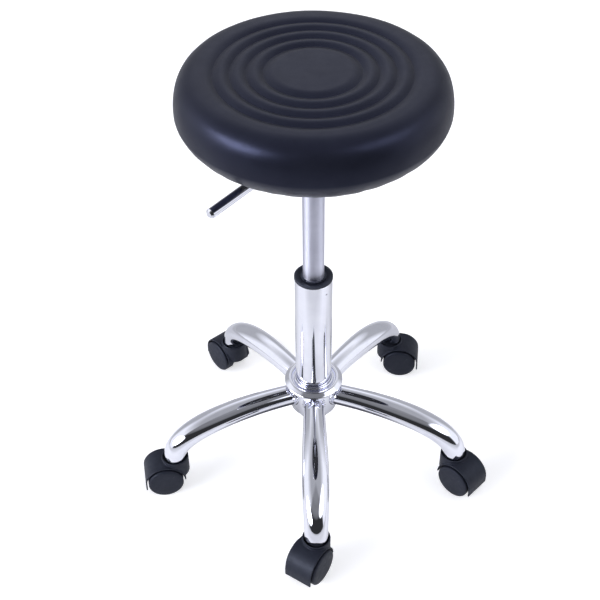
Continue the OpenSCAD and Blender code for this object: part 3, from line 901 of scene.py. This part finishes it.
hood_mesh = build_hood_mesh()
wheel_mesh = build_wheel_mesh()
for n in range(1, 6):
    caster = caster_matrix(n)
    place(f"hood_shell_{n}", hood_mesh, caster, f"caster_{n}", [f"hood_{n}"])
    axle = Matrix.Translation(joints[f"wheel_{n}_left_roll"]["pos_m"]) @ caster.to_3x3().to_4x4()
    for side, turn in (("left", 0), ("right", 180)):
        facing = axle @ Matrix.Rotation(math.radians(turn), 4, "Z")
        place(f"tyre_{n}_{side}", wheel_mesh, facing, f"wheel_{n}_{side}", [f"wheel_{n}_{side}"])

# ---------------------------------------------------------------- staples under the seat

STAPLES = 30
STAPLE_R = 117.0
STAPLE_Z = SEAT_BOTTOM - 1.1
STAPLE_HALF = 5.2
WIRE_HALF = 0.55
WIRE_FLATNESS = 0.6
WIRE_SIDES = 8


def wire_ring(x, z):
    """Points round the flat wire where the staple's path passes (x, z): on a leg, or on its crown."""
    on_leg = abs(x) > STAPLE_HALF - 0.5
    inwards = 1 if x < 0 else -1
    ring = []
    for b in round_angles(WIRE_SIDES):
        wide = WIRE_HALF * math.cos(b)
        thick = WIRE_HALF * WIRE_FLATNESS * math.sin(b)
        if on_leg:
            ring.append(Vector((x + thick * inwards, wide, z)))
        else:
            ring.append(Vector((x, wide, z + thick)))
    return ring


def build_staples():
    """A ring of staples, each a little off its place and its angle, as a hand stapler leaves them."""
    half = [(STAPLE_HALF, 0.5), (STAPLE_HALF - 0.15, -0.15), (STAPLE_HALF - 0.8, -0.42)]
    path = [(-x, z) for x, z in half] + half[::-1]
    points, faces = [], []
    for k in range(STAPLES):
        a = 2 * math.pi * (k + 0.35 * noise.noise(Vector((k * 1.7, 0.5, 0.2)))) / STAPLES
        lean = 0.35 * noise.noise(Vector((k * 2.3, 4.5, 0.2)))
        r = STAPLE_R + 1.5 * noise.noise(Vector((k * 0.9, 7, 1)))
        base = Matrix.Rotation(a, 3, "Z") @ Vector((r, 0, STAPLE_Z))
        turn = Matrix.Rotation(a + math.pi / 2 + lean, 3, "Z")
        start = len(points)
        for x, z in path:
            points += [base + turn @ p for p in wire_ring(x, z)]
        faces += tube_faces(len(path), WIRE_SIDES, start, joined=False)
        faces.append(list(range(start, start + WIRE_SIDES))[::-1])
        faces.append(list(range(len(points) - WIRE_SIDES, len(points))))
    obj = new_object("cover_staples", new_mesh("cover_staples", points, faces, MATERIALS["steel"]))
    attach(obj, "seat")


build_staples()

# ---------------------------------------------------------------- stage, light and camera

# The floor's paper. Straight to the camera it shows a painted glow that keeps it white. Reflections and bounced
# light see painted shade on it, a painted shadow under the seat and a weaker painted glow.
FLOOR_SIDE = 4.0
FLOOR_FRONT = -1.6
FLOOR_BACK = 6.0
PAPER = (0.80, 0.80, 0.81)
PAPER_SHADE = (0.77, 0.77, 0.785)
PAINTED_SHADE_PAPER = (0.07, 0.07, 0.08)
SEEN_PAINTED_GLOW = 0.50
REFLECTED_PAINTED_GLOW = 0.22
# The studio round it: its white in reflections and straight to the camera, and where its lamps are.
STUDIO_WHITE = 1.04
SEEN_WHITE = 1.06
STUDIO_TINT = (0.955, 0.97, 1.03, 1)
LAMPS = [((-0.84, -0.42, 0.33), 13.5), ((0.69, -0.36, 0.62), 2.6)]
LAMP_RADIUS = 0.46
LAMP_EDGE = 0.14
CAMERA_PLACE = (-0.01797, -1.12650, 1.30457)
CAMERA_TILT = 48.101
CAMERA_ROLL = -0.676
CAMERA_LENS = 68.451


def build_stage():
    """White paper with a painted glow. Reflections and bounced light see a painted shadow on it under the seat,
    and painted shade away from the stool.
    """
    mesh = bpy.data.meshes.new("floor")
    corners = [(-FLOOR_SIDE, FLOOR_FRONT, 0), (FLOOR_SIDE, FLOOR_FRONT, 0),
               (FLOOR_SIDE, FLOOR_BACK, 0), (-FLOOR_SIDE, FLOOR_BACK, 0)]
    mesh.from_pydata(corners, [], [(0, 1, 2, 3)])
    floor = new_object("floor", mesh)
    s = Shader("floor", specular=0.1)
    s.set("Roughness", 0.9)
    paper = s.mix(s.ramp(s.noise(6, 3, 0.5), 0.3, 0.7), PAPER, PAPER_SHADE)
    away = s.vector("LENGTH", s.coords)
    y = s.axes(s.coords)["Y"]
    # Painted shadow of the seat, and painted shade far off, behind and ahead of the stool.
    painted_seat_shadow = s.ramp(away, 0.08, 0.15)
    far = s.ramp(away, 0.60, 1.0, 1.0, 0.72)
    behind = s.ramp(y, 0.05, 0.30, 1.0, 0.62)
    ahead = s.ramp(y, -0.22, -0.36, 1.0, 0.72)
    light = s.product(s.product(painted_seat_shadow, ahead), s.product(far, behind))
    seen = s.camera_ray()
    # The camera sees plain paper; reflections and bounced light see it darkened by the painted shade.
    s.color(s.mix(seen, s.mix(light, PAINTED_SHADE_PAPER, paper), paper))
    s.set("Emission Color", (1, 1, 1, 1))
    # Painted glow: even to the camera, and in reflections only where no painted shade lies.
    s.drive("Emission Strength", s.choose(seen, s.ramp(light, 0, 1, 0.0, REFLECTED_PAINTED_GLOW), SEEN_PAINTED_GLOW))
    mesh.materials.append(s.mat)


def lamp_glow(sky, direction, towards, strength):
    """A soft lamp seen in one direction, twice as wide as it is high."""
    away = sky.vector("SUBTRACT", direction, towards)
    size = sky.vector("LENGTH", sky.vector("MULTIPLY", away, (1, 1, 2)))
    return sky.product(sky.over(size, LAMP_RADIUS, -LAMP_EDGE), strength)


def build_world():
    """A white studio, darker on the camera's side, overhead and low at the back, with two soft lamps."""
    world = bpy.data.worlds.new("studio")
    bpy.context.scene.world = world
    world.use_nodes = True
    sky = Nodes(world.node_tree)
    sky.tree.nodes.clear()
    direction = sky.node("ShaderNodeTexCoord").outputs["Generated"]
    x, y, z = sky.axes(direction)
    aside = sky.math("ABSOLUTE", x)
    # A wedge that leaves both sides white, and is less dark high up.
    front = sky.over(sky.minus(sky.product(aside, -0.50), y), 0.0, 0.14)
    front = sky.less(front, sky.over(z, 0.55, 0.40), 0.62)
    overhead = sky.over(z, 0.58, 0.28)
    # A band at the back that reaches higher towards the sides.
    height = sky.minus(sky.math("ABSOLUTE", z), sky.product(aside, 0.6))
    low_back = sky.product(sky.over(height, 0.42, -0.20), sky.over(y, 0.35, 0.25))
    level = STUDIO_WHITE
    for dark, share in ((front, 0.97), (overhead, 0.58), (low_back, 0.55)):
        level = sky.less(level, dark, share)
    for towards, strength in LAMPS:
        level = sky.math("ADD", level, lamp_glow(sky, direction, towards, strength))
    back = sky.node("ShaderNodeBackground")
    back.inputs["Color"].default_value = STUDIO_TINT
    sky.link(sky.choose(sky.camera_ray(), level, SEEN_WHITE), back.inputs["Strength"])
    out = sky.node("ShaderNodeOutputWorld")
    sky.link(back.outputs[0], out.inputs["Surface"])


def build_camera():
    data = bpy.data.cameras.new("camera")
    data.lens = CAMERA_LENS
    data.sensor_width = 36
    data.clip_start = 0.05
    data.clip_end = 50
    cam = new_object("camera", data)
    tilt = Matrix.Rotation(math.radians(CAMERA_TILT), 4, "X")
    roll = Matrix.Rotation(math.radians(CAMERA_ROLL), 4, "Z")
    cam.matrix_world = Matrix.Translation(CAMERA_PLACE) @ (tilt @ roll)
    bpy.context.scene.camera = cam


build_stage()
build_world()
build_camera()

view = bpy.context.scene.view_settings
view.view_transform = "Standard"
view.look = "None"
view.exposure = 0.0
